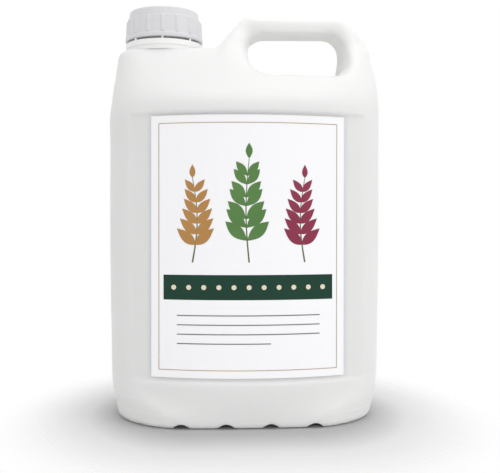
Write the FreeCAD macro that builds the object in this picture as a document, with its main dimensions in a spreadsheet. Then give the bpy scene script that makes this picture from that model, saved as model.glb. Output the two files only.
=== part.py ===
# A five-litre blow-moulded bottle with a hollow handle, a screw cap and a tamper band.
# Frame: millimetres, +Z up, origin at the middle of the base, front towards -Y, handle towards +X.
import FreeCAD, Part
import Sketcher
import math
import os

doc = FreeCAD.newDocument("oil_bottle")

# Places closer together than this, in millimetres, count as the same.
near = 0.01
# Lengths and slants smaller than this count as nothing.
nothing = 1e-6

# Driving dimensions, in millimetres, degrees or counts.
sizes = {
    # Walls and the main block
    "wall": 1.3,
    "body_width": 185.6,
    "body_depth": 143.0,
    "lower_width": 183.0,
    "lower_depth": 139.6,
    "foot_width": 176.0,
    "foot_depth": 134.0,
    "foot_height": 26.0,
    "steady_height": 39.0,
    "taper_height": 120.0,
    "corner_radius": 40.0,
    "bow_radius": 170.0,
    "flattest_bow_radius": 2000.0,
    "bow_growth": 1.5,
    "foot_corner_radius": 40.0,
    "foot_bow_radius": 600.0,
    "base_edge_radius": 5.0,
    "split_height": 205.0,
    # Shoulder, from the break above the front panel to the handle
    "break_height": 204.6,
    "shoulder_height": 217.6,
    "shoulder_depth": 131.2,
    "handle_foot_height": 265.0,
    "left_lean": 5.2,
    # Handle and its finger slot
    "handle_top": 278.0,
    "handle_depth": 32.0,
    "handle_edge_radius": 6.8,
    "handle_flat_end": 60.0,
    "end_curve_height": 219.0,
    "flank_foot_x": -20.7,
    "flank_top_x": 7.5,
    "platform_height": 252.0,
    "platform_edge_radius": 6.0,
    "notch_clearance": 18.56,
    "slot_left": 2.2,
    "slot_right": 70.0,
    "slot_bottom": 231.0,
    "slot_top": 266.0,
    "slot_corner_radius": 13.0,
    "slot_edge_radius": 5.0,
    # Recessed panels on the front and the back
    "panel_bottom": 30.0,
    "panel_top": 203.3,
    "panel_depth": 1.8,
    "panel_bow_radius": 175.0,
    # Flutes under the base
    "flute_count": 4,
    "flute_pitch": 28.8,
    "flute_width": 10.9,
    "flute_height": 3.2,
    # Neck
    "neck_inset": 36.0,
    "neck_root_radius": 20.6,
    "neck_bore_radius": 18.6,
    "collar_radius": 27.2,
    "collar_top": 254.6,
    "bead_radius": 23.4,
    "bead_height": 1.6,
    "thread_pitch": 4.0,
    "thread_depth": 1.6,
    "thread_root_width": 2.6,
    "thread_crest_width": 1.2,
    "thread_start": 262.0,
    "neck_thread_turns": 2.0,
    "cap_thread_turns": 1.5,
    "thread_clearance": 0.4,
    "thread_embed": 0.3,
    "neck_chamfer": 0.8,
    "collar_embed": 6.0,
    # Cap and liner
    "cap_top": 281.5,
    "cap_plate": 2.0,
    "cap_bottom_radius": 27.5,
    "cap_skirt_radius": 26.3,
    "cap_skirt_top_radius": 25.1,
    "cap_ring_radius": 25.5,
    "cap_ring_height": 5.6,
    "cap_edge_radius": 1.6,
    "cap_flange_height": 2.7,
    "rib_count": 16,
    "rib_width": 2.0,
    "rib_height": 0.8,
    "rib_embed": 0.5,
    "liner_thickness": 1.8,
    "liner_clearance": 0.4,
    "seal_gap": 0.05,
    # Tamper band
    "band_height": 3.9,
    "band_thickness": 3.1,
    "band_lip_height": 1.1,
    "band_lip_overlap": 1.2,
    "band_clearance": 0.3,
    "tamper_gap": 1.5,
    "bridge_count": 8,
    "bridge_width": 1.2,
    "bridge_thickness": 1.2,
    "bridge_break": 0.1,
    # Label
    "label_width": 125.2,
    "label_height": 168.0,
    "label_bottom": 33.0,
    "label_thickness": 0.2,
    "label_gap": 0.02,
}

sheet = doc.addObject("Spreadsheet::Sheet", "Sizes")
for row, (alias, size) in enumerate(sizes.items(), start=1):
    sheet.set(f"A{row}", alias)
    sheet.set(f"B{row}", str(size))
    sheet.setAlias(f"B{row}", alias)
doc.recompute()


def number(expression):
    """The present value of an expression in the sheet's names."""
    return float(sheet.evalExpression(expression))


def new_body(name):
    body = doc.addObject("PartDesign::Body", name)
    body.Label = name
    return body


def new_sketch(body, name, plane, height=None):
    """A sketch on one of the body's own planes, lifted by an expression."""
    sketch = body.newObject("Sketcher::SketchObject", name)
    support = [item for item in body.Origin.OriginFeatures if item.Role == plane][0]
    sketch.AttachmentSupport = [(support, "")]
    sketch.MapMode = "FlatFace"
    if height is not None:
        sketch.setExpression("AttachmentOffset.Base.z", height)
    return sketch


def bind(sketch, kind, elements, expression):
    """Adds a dimension to a sketch and binds it to an expression."""
    index = sketch.addConstraint(Sketcher.Constraint(kind, *elements, number(expression)))
    sketch.setExpression(f"Constraints[{index}]", expression)


def place_point(sketch, edge, end, across, up):
    """Fixes one end of an edge at two expressions, measured from the sketch's origin."""
    for kind, axis, expression in (("DistanceX", -2, across), ("DistanceY", -1, up)):
        value = number(expression)
        if abs(value) < nothing:
            sketch.addConstraint(Sketcher.Constraint("PointOnObject", edge, end, axis))
        elif value > 0:
            bind(sketch, kind, (-1, 1, edge, end), expression)
        else:
            bind(sketch, kind, (edge, end, -1, 1), f"-({expression})")


def polygon_sketch(body, name, plane, corners, height=None):
    """A closed outline of straight edges through corners given as pairs of expressions."""
    sketch = new_sketch(body, name, plane, height)
    points = [FreeCAD.Vector(number(x), number(y), 0) for x, y in corners]
    count = len(points)
    for i in range(count):
        sketch.addGeometry(Part.LineSegment(points[i], points[(i + 1) % count]))
    for i in range(count):
        sketch.addConstraint(Sketcher.Constraint("Coincident", i, 2, (i + 1) % count, 1))
    for i, (x, y) in enumerate(corners):
        place_point(sketch, i, 1, x, y)
    return sketch


def arc(centre, radius, start, end):
    circle = Part.Circle(FreeCAD.Vector(centre[0], centre[1], 0), FreeCAD.Vector(0, 0, 1), radius)
    return Part.ArcOfCircle(circle, start, end)


def bowed_sketch(body, name, height, left, right, half_depth, corner, bow):
    """A rounded rectangle whose long sides are bowed outwards, drawn counter-clockwise."""
    sketch = new_sketch(body, name, "XY_Plane", height)
    x0, x1, depth = number(left), number(right), number(half_depth)
    radius, big = number(corner), number(bow)
    middle, half = (x0 + x1) / 2, (x1 - x0) / 2
    big_y = big - depth
    corner_y = math.sqrt((big - radius) ** 2 - (half - radius) ** 2) - big_y
    lean = math.asin((half - radius) / (big - radius))
    quarter = math.pi / 2
    down = 3 * quarter
    sketch.addGeometry(arc((middle, big_y), big, down - lean, down + lean))
    sketch.addGeometry(arc((x1 - radius, -corner_y), radius, down + lean, 4 * quarter))
    sketch.addGeometry(Part.LineSegment(FreeCAD.Vector(x1, -corner_y, 0), FreeCAD.Vector(x1, corner_y, 0)))
    sketch.addGeometry(arc((x1 - radius, corner_y), radius, 0, quarter - lean))
    sketch.addGeometry(arc((middle, -big_y), big, quarter - lean, quarter + lean))
    sketch.addGeometry(arc((x0 + radius, corner_y), radius, quarter + lean, 2 * quarter))
    sketch.addGeometry(Part.LineSegment(FreeCAD.Vector(x0, corner_y, 0), FreeCAD.Vector(x0, -corner_y, 0)))
    sketch.addGeometry(arc((x0 + radius, -corner_y), radius, 2 * quarter, down - lean))
    for i in range(8):
        sketch.addConstraint(Sketcher.Constraint("Tangent", i, 2, (i + 1) % 8, 1))
    for side in (2, 6):
        sketch.addConstraint(Sketcher.Constraint("Vertical", side))
    for bowed in (0, 4):
        bind(sketch, "Radius", (bowed,), bow)
    for rounded in (1, 3, 5, 7):
        bind(sketch, "Radius", (rounded,), corner)
    bind(sketch, "DistanceX", (-1, 1, 2, 1), right)
    bind(sketch, "DistanceX", (6, 1, -1, 1), f"-({left})")
    place_point(sketch, 0, 3, f"(({left}) + ({right})) / 2", f"({bow}) - ({half_depth})")
    place_point(sketch, 4, 3, f"(({left}) + ({right})) / 2", f"({half_depth}) - ({bow})")
    return sketch


def half_depth_at(height):
    """Half the bottle's depth at a height between its foot and the break of the shoulder."""
    climbed = f"(({height}) - Sizes.foot_height) / (Sizes.break_height - Sizes.foot_height)"
    return f"(Sizes.lower_depth / 2 + (Sizes.body_depth - Sizes.lower_depth) / 2 * {climbed})"


def panel_sketch(body, name, height, sign, reach, bow):
    """What is cut away over a label panel: all that lies outside its bowed face."""
    sketch = new_sketch(body, name, "XY_Plane", height)
    half_width = "(Sizes.body_width / 2)"
    outside = f"{sign} * Sizes.body_depth"
    half, far, radius = number(half_width), number(outside), number(bow)
    centre_y = -sign * (radius - number(reach))
    edge_y = centre_y + sign * math.sqrt(radius ** 2 - half ** 2)
    middle_angle = sign * math.pi / 2
    spread = math.asin(half / radius)
    sketch.addGeometry(arc((0, centre_y), radius, middle_angle - spread, middle_angle + spread))
    first_x = sign * half
    corners = [FreeCAD.Vector(-first_x, edge_y, 0), FreeCAD.Vector(-first_x, far, 0),
               FreeCAD.Vector(first_x, far, 0), FreeCAD.Vector(first_x, edge_y, 0)]
    for i in range(3):
        sketch.addGeometry(Part.LineSegment(corners[i], corners[i + 1]))
    for i in range(4):
        sketch.addConstraint(Sketcher.Constraint("Coincident", i, 2, (i + 1) % 4, 1))
    bind(sketch, "Radius", (0,), bow)
    place_point(sketch, 0, 3, "0", f"{-sign} * (({bow}) - ({reach}))")
    place_point(sketch, 2, 1, f"{-sign} * {half_width}", outside)
    place_point(sketch, 2, 2, f"{sign} * {half_width}", outside)
    for upright in (1, 3):
        sketch.addConstraint(Sketcher.Constraint("Vertical", upright))
    return sketch


def label_sketch(body, name, height, reach):
    """A level section of the label: a thin band of the panel's own bow."""
    sketch = new_sketch(body, name, "XY_Plane", height)
    half_width = "Sizes.label_width / 2"
    inner_radius = "(Sizes.panel_bow_radius + Sizes.label_gap)"
    outer_radius = f"({inner_radius} + Sizes.label_thickness)"
    centre = f"({inner_radius} - ({reach}))"
    half, centre_y = number(half_width), number(centre)
    down = 3 * math.pi / 2
    ends = []
    for expression in (outer_radius, inner_radius):
        radius = number(expression)
        spread = math.asin(half / radius)
        sketch.addGeometry(arc((0, centre_y), radius, down - spread, down + spread))
        ends.append(centre_y - math.sqrt(radius ** 2 - half ** 2))
    for x in (half, -half):
        sketch.addGeometry(Part.LineSegment(FreeCAD.Vector(x, ends[0], 0), FreeCAD.Vector(x, ends[1], 0)))
    for line, end in ((2, 2), (3, 1)):
        sketch.addConstraint(Sketcher.Constraint("Coincident", 0, end, line, 1))
        sketch.addConstraint(Sketcher.Constraint("Coincident", 1, end, line, 2))
        sketch.addConstraint(Sketcher.Constraint("Vertical", line))
    bind(sketch, "Radius", (0,), outer_radius)
    bind(sketch, "Radius", (1,), inner_radius)
    bind(sketch, "DistanceX", (-1, 1, 2, 1), half_width)
    bind(sketch, "DistanceX", (3, 1, -1, 1), half_width)
    for edge in (0, 1):
        place_point(sketch, edge, 3, "0", centre)
    return sketch


def slot_sketch(body, name, left, right, bottom, top, corner):
    """A rectangle with rounded corners, seen from the front."""
    sketch = new_sketch(body, name, "XZ_Plane")
    x0, x1, z0, z1, radius = (number(value) for value in (left, right, bottom, top, corner))
    quarter = math.pi / 2
    line_ends = (
        ((x0 + radius, z0), (x1 - radius, z0)),
        ((x1, z0 + radius), (x1, z1 - radius)),
        ((x1 - radius, z1), (x0 + radius, z1)),
        ((x0, z1 - radius), (x0, z0 + radius)),
    )
    corner_centres = (
        (x1 - radius, z0 + radius),
        (x1 - radius, z1 - radius),
        (x0 + radius, z1 - radius),
        (x0 + radius, z0 + radius),
    )
    for i in range(4):
        start, end = line_ends[i]
        sketch.addGeometry(Part.LineSegment(FreeCAD.Vector(*start, 0), FreeCAD.Vector(*end, 0)))
        sketch.addGeometry(arc(corner_centres[i], radius, (i - 1) * quarter, i * quarter))
    for i in range(8):
        sketch.addConstraint(Sketcher.Constraint("Tangent", i, 2, (i + 1) % 8, 1))
    for i in (0, 4):
        sketch.addConstraint(Sketcher.Constraint("Horizontal", i))
    for i in (2, 6):
        sketch.addConstraint(Sketcher.Constraint("Vertical", i))
    for i in (1, 3, 5, 7):
        bind(sketch, "Radius", (i,), corner)
    bind(sketch, "DistanceX", (-1, 1, 6, 1), left)
    bind(sketch, "DistanceX", (-1, 1, 2, 1), right)
    bind(sketch, "DistanceY", (-1, 1, 0, 1), bottom)
    bind(sketch, "DistanceY", (-1, 1, 4, 1), top)
    return sketch


def loft(body, kind, name, sections, ruled):
    feature = body.newObject(f"PartDesign::{kind}Loft", name)
    feature.Profile = sections[0]
    feature.Sections = sections[1:]
    feature.Ruled = ruled
    return settle(body, feature)


def cut_through(body, name, sketch):
    """Cuts a front-view outline right through the body, both ways."""
    before = body.Shape.Volume
    feature = body.newObject("PartDesign::Pocket", name)
    feature.Profile = sketch
    feature.Type = "ThroughAll"
    feature.SideType = "Symmetric"
    settle(body, feature)
    if body.Shape.Volume > before - 1.0:
        raise RuntimeError(f"{name} cut nothing")
    return feature


def revolve(body, name, sketch):
    feature = body.newObject("PartDesign::Revolution", name)
    feature.Profile = sketch
    feature.ReferenceAxis = (sketch, ["V_Axis"])
    feature.Angle = 360.0
    return settle(body, feature)


def helix(body, name, sketch, turns):
    feature = body.newObject("PartDesign::AdditiveHelix", name)
    feature.Profile = sketch
    feature.ReferenceAxis = (sketch, ["V_Axis"])
    feature.Mode = "pitch-turns-angle"
    feature.setExpression("Pitch", "Sizes.thread_pitch")
    feature.setExpression("Turns", turns)
    return settle(body, feature)


def ring_of(body, name, feature, sketch, count):
    """Repeats a feature round the sketch's upright axis."""
    pattern = body.newObject("PartDesign::PolarPattern", name)
    pattern.Originals = [feature]
    pattern.Axis = (sketch, ["V_Axis"])
    pattern.Angle = 360.0
    pattern.setExpression("Occurrences", count)
    return settle(body, pattern)


def symmetric_pad(body, name, sketch, length):
    feature = body.newObject("PartDesign::Pad", name)
    feature.Profile = sketch
    feature.SideType = "Symmetric"
    feature.setExpression("Length", length)
    return settle(body, feature)


def settle(body, feature):
    """Makes a feature the body's last one and works the document out."""
    body.Tip = feature
    doc.recompute()
    if "Invalid" in feature.State or "Error" in feature.State or not feature.Shape.isValid():
        raise RuntimeError(f"{feature.Label} failed: {feature.State}")
    return feature


def rim_edges(shape, is_cut_face):
    """Names of the edges between a face that passes the test and one that doesn't."""
    names = []
    for i, edge in enumerate(shape.Edges, start=1):
        faces = shape.ancestorsOfType(edge, Part.Face)
        if len(faces) == 2 and is_cut_face(faces[0]) != is_cut_face(faces[1]):
            names.append(f"Edge{i}")
    return names


def round_edges(body, name, edges, radius):
    base = body.Tip
    feature = body.newObject("PartDesign::Fillet", name)
    feature.Base = (base, edges)
    feature.setExpression("Radius", radius)
    return settle(body, feature)


def runs_front_to_back(face):
    """True for a plane or a cylinder whose lines run along Y."""
    surface = face.Surface
    if isinstance(surface, Part.Plane):
        return abs(surface.Axis.y) < nothing
    return isinstance(surface, Part.Cylinder) and abs(surface.Axis.y) > 1 - nothing


def body_station(height, half_depth, half_width, inset):
    """A section of the straight part of the bottle."""
    return {
        "height": height,
        "left": f"-(({half_width}) - {inset})",
        "right": f"({half_width}) - {inset}",
        "half_depth": f"({half_depth}) - {inset}",
        "corner": f"Sizes.corner_radius - {inset}",
        "bow": f"Sizes.bow_radius - {inset}",
    }


def foot_station(turn, inset):
    """A section of the rounded edge at the foot, so many degrees down round its curve."""
    radius = f"(Sizes.base_edge_radius - {inset})"
    drawn_in = f"(Sizes.base_edge_radius - {radius} * cos({turn}))"
    half_width = f"(Sizes.foot_width / 2 - {drawn_in})"
    return {
        "height": f"Sizes.base_edge_radius - {radius} * sin({turn})",
        "left": f"-{half_width}",
        "right": half_width,
        "half_depth": f"Sizes.foot_depth / 2 - {drawn_in}",
        "corner": f"Sizes.foot_corner_radius - {drawn_in}",
        "bow": f"Sizes.foot_bow_radius - {drawn_in}",
    }


def shoulder_station(height, half_depth, inset, facing):
    """A section of the shoulder or the handle. The wall grows inwards across the surface, which
    faces so many degrees above level."""
    level = f"({height}) - {inset} * sin({facing})"
    depth = f"(({half_depth}) - {inset} * cos({facing}))"
    rise = "(Sizes.handle_top - Sizes.end_curve_height)"
    reach = "(Sizes.body_width / 2 - Sizes.handle_flat_end)"
    climbed = f"max(0; ({level}) - Sizes.end_curve_height) / ({rise} - {inset})"
    leaned = (f"Sizes.left_lean * (({level}) - Sizes.break_height)"
              " / (Sizes.platform_height - Sizes.break_height)")
    share = f"({depth} / (Sizes.body_depth / 2))"
    return {
        "height": level,
        "left": f"{leaned} - (Sizes.body_width / 2 - {inset})",
        "right": f"Sizes.handle_flat_end + ({reach} - {inset}) * sqrt(abs(1 - ({climbed})^2))",
        "half_depth": depth,
        "corner": f"Sizes.corner_radius * {share}",
        "bow": f"min(Sizes.flattest_bow_radius; Sizes.bow_radius / {share}^Sizes.bow_growth)",
    }


def bottle_stations(inset):
    """The level sections of the bottle from its foot to the top of the handle."""
    half_body = "Sizes.body_depth / 2"
    half_lower_width = "Sizes.lower_width / 2"
    half_width = "Sizes.body_width / 2"
    taper_up = "min(1; (({0}) - Sizes.foot_height) / (Sizes.taper_height - Sizes.foot_height))"
    width_at = f"{half_lower_width} + ({half_width} - {half_lower_width}) * {taper_up}"
    below_break = "Sizes.break_height - (Sizes.shoulder_height - Sizes.break_height)"
    foot_turns = (90, 60, 30, 0)
    stations = [foot_station(turn, inset) for turn in foot_turns]
    for height in (
        "Sizes.foot_height",
        "Sizes.steady_height",
        "(Sizes.foot_height + Sizes.taper_height) / 2",
        "Sizes.taper_height",
        "(Sizes.taper_height + Sizes.break_height) / 2",
        below_break,
        "Sizes.break_height",
    ):
        stations.append(body_station(height, half_depth_at(height), width_at.format(height), inset))
    half_shoulder = "Sizes.shoulder_depth / 2"
    half_handle = "Sizes.handle_depth / 2"
    slope_rise = "(Sizes.handle_foot_height - Sizes.shoulder_height)"
    slope_run = f"({half_shoulder} - {half_handle})"
    facing = f"atan({slope_run} / {slope_rise})"
    break_rise = "(Sizes.shoulder_height - Sizes.break_height)"
    stations.append(shoulder_station(
        f"Sizes.break_height + {break_rise} / 2",
        f"{half_body} - ({half_body} - {half_shoulder}) / 4", inset, f"{facing} / 2"))
    slope_shares = (0.0, 0.35, 0.7, 0.95)
    for share in slope_shares:
        stations.append(shoulder_station(
            f"Sizes.shoulder_height + {slope_rise} * {share}",
            f"{half_shoulder} - {slope_run} * {share}", inset, facing))
    edge_turns = (0, 30, 60, 90)
    for turn in edge_turns:
        stations.append(shoulder_station(
            f"Sizes.handle_top - Sizes.handle_edge_radius * (1 - sin({turn}))",
            f"{half_handle} - Sizes.handle_edge_radius * (1 - cos({turn}))", inset, str(turn)))
    return stations


def moulded_skin(name, inset):
    """The bottle's outer shape without its neck, set in by an expression."""
    body = new_body(name)
    sections = []
    for i, station in enumerate(bottle_stations(inset)):
        sections.append(bowed_sketch(body, f"{name}_section_{i}", **station))
    doc.recompute()
    loft(body, "Additive", f"{name}_block", sections, False)

    # The corner over the neck platform is open, up to the handle's sloping flank.
    platform = f"Sizes.platform_height - {inset}"
    rise = "(Sizes.handle_top - Sizes.platform_height)"
    run = "(Sizes.flank_top_x - Sizes.flank_foot_x)"
    set_over = f"{inset} * (sqrt({rise}^2 + {run}^2) - {run}) / {rise}"
    foot_x = f"Sizes.flank_foot_x + {set_over}"
    notch_top = "Sizes.handle_top + Sizes.notch_clearance"
    top_x = f"{foot_x} + {run} / {rise} * ({notch_top} - ({platform}))"
    outside = "-Sizes.body_width"
    corners = [(outside, platform), (foot_x, platform), (top_x, notch_top), (outside, notch_top)]
    notch = polygon_sketch(body, f"{name}_notch_outline", "XZ_Plane", corners)
    cut_through(body, f"{name}_neck_notch", notch)
    level = number(platform)

    def is_platform(face):
        return abs(face.BoundBox.ZMin - level) < near and abs(face.BoundBox.ZMax - level) < near

    crease_x = number(foot_x) - near
    edges = []
    for edge in rim_edges(body.Shape, is_platform):
        if body.Shape.getElement(edge).CenterOfMass.x < crease_x:
            edges.append(edge)
    round_edges(body, f"{name}_platform_edge", edges, f"Sizes.platform_edge_radius - {inset}")

    # The finger slot goes right through under the handle.
    slot = slot_sketch(
        body, f"{name}_slot_outline",
        f"Sizes.slot_left - {inset}", f"Sizes.slot_right + {inset}",
        f"Sizes.slot_bottom - {inset}", f"Sizes.slot_top + {inset}",
        f"Sizes.slot_corner_radius + {inset}")
    cut_through(body, f"{name}_slot", slot)
    slot_box = [number(f"Sizes.slot_{side}") for side in ("left", "right", "bottom", "top")]
    margin = number(inset) + near

    def is_slot_face(face):
        box = face.BoundBox
        inside_x = box.XMin > slot_box[0] - margin and box.XMax < slot_box[1] + margin
        inside_z = box.ZMin > slot_box[2] - margin and box.ZMax < slot_box[3] + margin
        return runs_front_to_back(face) and inside_x and inside_z

    edges = rim_edges(body.Shape, is_slot_face)
    round_edges(body, f"{name}_slot_edge", edges, f"Sizes.slot_edge_radius - {inset}")

    # The label panels lie a little below the front and the back.
    for side, sign in (("front", -1), ("back", 1)):
        ends = []
        for end in ("bottom", "top"):
            height = f"Sizes.panel_{end}"
            reach = f"{half_depth_at(height)} - Sizes.panel_depth - {inset}"
            bow = f"Sizes.panel_bow_radius - {inset}"
            ends.append(panel_sketch(body, f"{name}_{side}_panel_{end}", height, sign, reach, bow))
        loft(body, "Subtractive", f"{name}_{side}_panel", ends, True)

    # Flutes run under the base from front to back.
    radius = "((Sizes.flute_width / 2)^2 + Sizes.flute_height^2) / (2 * Sizes.flute_height)"
    span = "Sizes.flute_pitch * (Sizes.flute_count - 1)"
    outline = new_sketch(body, f"{name}_flute_outline", "XZ_Plane")
    outline.addGeometry(Part.Circle(
        FreeCAD.Vector(number(f"-{span} / 2"), number(f"Sizes.flute_height - {radius}"), 0),
        FreeCAD.Vector(0, 0, 1), number(f"{radius} + {inset}")))
    bind(outline, "Radius", (0,), f"{radius} + {inset}")
    place_point(outline, 0, 3, f"-({span}) / 2", f"Sizes.flute_height - {radius}")
    flute = cut_through(body, f"{name}_flute", outline)
    row = body.newObject("PartDesign::LinearPattern", f"{name}_flutes")
    row.Originals = [flute]
    row.Direction = (outline, ["H_Axis"])
    row.setExpression("Length", span)
    row.setExpression("Occurrences", "Sizes.flute_count")
    settle(body, row)
    return body


# Heights that follow from the pieces stacked on the neck
band_bottom = "(Sizes.collar_top + Sizes.band_clearance)"
band_top = f"({band_bottom} + Sizes.band_height)"
lip_top = f"({band_bottom} + Sizes.band_lip_height)"
bead_bottom = f"({lip_top} + Sizes.band_clearance)"
bead_top = f"({bead_bottom} + Sizes.bead_height)"
cap_bottom = f"({band_top} + Sizes.tamper_gap)"
cap_underside = "(Sizes.cap_top - Sizes.cap_plate)"
liner_bottom = f"({cap_underside} - Sizes.seal_gap - Sizes.liner_thickness)"
neck_top = f"({liner_bottom} - Sizes.seal_gap)"

# The neck's place and the radii that follow from the fits round it
neck_x = "-(Sizes.body_width / 2 - Sizes.neck_inset)"
cap_bore = "(Sizes.neck_root_radius + Sizes.thread_depth + Sizes.thread_clearance)"
lip_radius = "(Sizes.bead_radius - Sizes.band_lip_overlap)"
seat_radius = f"({lip_radius} - 2 * Sizes.band_clearance)"
band_bore = "(Sizes.bead_radius + 2 * Sizes.band_clearance)"
band_radius = f"({band_bore} + Sizes.band_thickness)"


def on_neck(piece):
    """Moves a piece that was drawn round the upright axis over to the neck."""
    piece.setExpression("Placement.Base.x", neck_x)


def make_neck():
    """The threaded neck as a solid plug, with the bead that holds the tamper band down."""
    body = new_body("neck")
    foot = "Sizes.platform_height - Sizes.collar_embed"
    corners = [
        ("0", foot),
        ("Sizes.collar_radius", foot),
        ("Sizes.collar_radius", "Sizes.collar_top"),
        (seat_radius, "Sizes.collar_top"),
        (seat_radius, bead_bottom),
        ("Sizes.bead_radius", bead_bottom),
        ("Sizes.bead_radius", f"{bead_bottom} + Sizes.bead_height / 2"),
        ("Sizes.neck_root_radius", bead_top),
        ("Sizes.neck_root_radius", f"{neck_top} - Sizes.neck_chamfer"),
        ("Sizes.neck_root_radius - Sizes.neck_chamfer", neck_top),
        ("0", neck_top),
    ]
    revolve(body, "neck_turning", polygon_sketch(body, "neck_outline", "XZ_Plane", corners))
    root = "Sizes.neck_root_radius - Sizes.thread_embed"
    crest = "Sizes.neck_root_radius + Sizes.thread_depth"
    ridge = polygon_sketch(body, "neck_thread_outline", "XZ_Plane", [
        (root, "Sizes.thread_start - Sizes.thread_root_width / 2"),
        (crest, "Sizes.thread_start - Sizes.thread_crest_width / 2"),
        (crest, "Sizes.thread_start + Sizes.thread_crest_width / 2"),
        (root, "Sizes.thread_start + Sizes.thread_root_width / 2"),
    ])
    helix(body, "neck_thread", ridge, "Sizes.neck_thread_turns")
    on_neck(body)
    return body


def block(name, left, right, bottom, top):
    """A block across the bottle between two upright planes and two heights."""
    piece = doc.addObject("Part::Box", name)
    piece.setExpression("Length", f"({right}) - ({left})")
    piece.setExpression("Width", "2 * Sizes.body_depth")
    piece.setExpression("Height", f"({top}) - ({bottom})")
    piece.setExpression("Placement.Base.x", left)
    piece.setExpression("Placement.Base.y", "-Sizes.body_depth")
    piece.setExpression("Placement.Base.z", bottom)
    return piece


def combine(kind, name, base, tool):
    """Two solids fused, cut or intersected."""
    result = doc.addObject(f"Part::{kind}", name)
    result.Base = base
    result.Tool = tool
    return result


def make_bottle():
    """One hollow moulding: the outer skin and the neck, less the inside and the bore. It is given
    as four solids that meet face to face: the straight part, the shoulder, the handle above the
    middle of its slot, and the neck."""
    outer = moulded_skin("outer_skin", "0")
    inner = moulded_skin("inner_skin", "Sizes.wall")
    neck = make_neck()
    bore = doc.addObject("Part::Cylinder", "neck_bore")
    foot = "(Sizes.platform_height - 2 * Sizes.collar_embed)"
    bore.setExpression("Radius", "Sizes.neck_bore_radius")
    bore.setExpression("Height", f"Sizes.cap_top - {foot}")
    bore.setExpression("Placement.Base.z", foot)
    on_neck(bore)
    outside = combine("Fuse", "outside", outer, neck)
    hollow = combine("Fuse", "hollow", inner, bore)
    moulding = combine("Cut", "moulding", outside, hollow)
    lower = block(
        "lower_block", "-Sizes.body_width", "Sizes.body_width",
        "-Sizes.wall", "Sizes.split_height")
    beside_flank = "Sizes.flank_foot_x - Sizes.wall"
    neck_space = block(
        "neck_block", "-Sizes.body_width", beside_flank, "Sizes.platform_height", "Sizes.cap_top")
    handle_space = block(
        "handle_block", beside_flank, "Sizes.body_width",
        "(Sizes.slot_bottom + Sizes.slot_top) / 2", "Sizes.cap_top")
    straight_part = combine("Common", "bottle_body", moulding, lower)
    neck_finish = combine("Common", "neck_finish", moulding, neck_space)
    handle = combine("Common", "bottle_handle", moulding, handle_space)
    upper = combine("Cut", "upper_part", moulding, lower)
    handled_top = combine("Cut", "handled_top", upper, neck_space)
    shoulder = combine("Cut", "bottle_shoulder", handled_top, handle_space)
    doc.recompute()
    return [straight_part, shoulder, handle, neck_finish]


def make_screw_cap():
    """The cap: a ribbed skirt under a plain top ring, with a thread inside."""
    body = new_body("screw_cap")
    skirt_bottom = f"({cap_bottom} + Sizes.cap_flange_height)"
    ring_bottom = "(Sizes.cap_top - Sizes.cap_ring_height)"
    corners = [
        (cap_bore, cap_bottom),
        ("Sizes.cap_bottom_radius", cap_bottom),
        ("Sizes.cap_bottom_radius", skirt_bottom),
        ("Sizes.cap_skirt_radius", skirt_bottom),
        ("Sizes.cap_skirt_top_radius", ring_bottom),
        ("Sizes.cap_ring_radius", ring_bottom),
        ("Sizes.cap_ring_radius", "Sizes.cap_top"),
        ("0", "Sizes.cap_top"),
        ("0", cap_underside),
        (cap_bore, cap_underside),
    ]
    revolve(body, "cap_turning", polygon_sketch(body, "cap_outline", "XZ_Plane", corners))
    top = number("Sizes.cap_top")
    edges = rim_edges(body.Shape, lambda face: face.BoundBox.ZMin > top - near)
    round_edges(body, "cap_top_edge", edges, "Sizes.cap_edge_radius")
    rib = polygon_sketch(body, "rib_outline", "XZ_Plane", [
        ("Sizes.cap_skirt_radius - Sizes.rib_embed", skirt_bottom),
        ("Sizes.cap_skirt_radius + Sizes.rib_height", skirt_bottom),
        ("Sizes.cap_skirt_top_radius + Sizes.rib_height", ring_bottom),
        ("Sizes.cap_skirt_top_radius - Sizes.rib_embed", ring_bottom),
    ])
    first_rib = symmetric_pad(body, "rib", rib, "Sizes.rib_width")
    ring_of(body, "ribs", first_rib, rib, "Sizes.rib_count")
    tip = "(Sizes.neck_root_radius + Sizes.thread_clearance)"
    slant = "((Sizes.thread_root_width - Sizes.thread_crest_width) / 2 / Sizes.thread_depth)"
    half_gap = "(Sizes.thread_pitch / 2 - Sizes.thread_clearance - Sizes.thread_root_width / 2)"
    half_tip = f"({half_gap} + {slant} * Sizes.thread_clearance)"
    half_root = f"({half_gap} + {slant} * (Sizes.thread_depth + Sizes.thread_clearance))"
    middle = "(Sizes.thread_start + Sizes.thread_pitch / 2)"
    ridge = polygon_sketch(body, "cap_thread_outline", "XZ_Plane", [
        (f"{cap_bore} + Sizes.thread_embed", f"{middle} - {half_root}"),
        (f"{cap_bore} + Sizes.thread_embed", f"{middle} + {half_root}"),
        (tip, f"{middle} + {half_tip}"),
        (tip, f"{middle} - {half_tip}"),
    ])
    helix(body, "cap_thread", ridge, "Sizes.cap_thread_turns")
    on_neck(body)
    return body


def make_cap_liner():
    """A foam disc that the cap presses on the neck's rim."""
    liner = doc.addObject("Part::Cylinder", "cap_liner")
    liner.setExpression("Radius", f"{cap_bore} - Sizes.liner_clearance")
    liner.setExpression("Height", "Sizes.liner_thickness")
    liner.setExpression("Placement.Base.z", liner_bottom)
    on_neck(liner)
    doc.recompute()
    return liner


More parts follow.
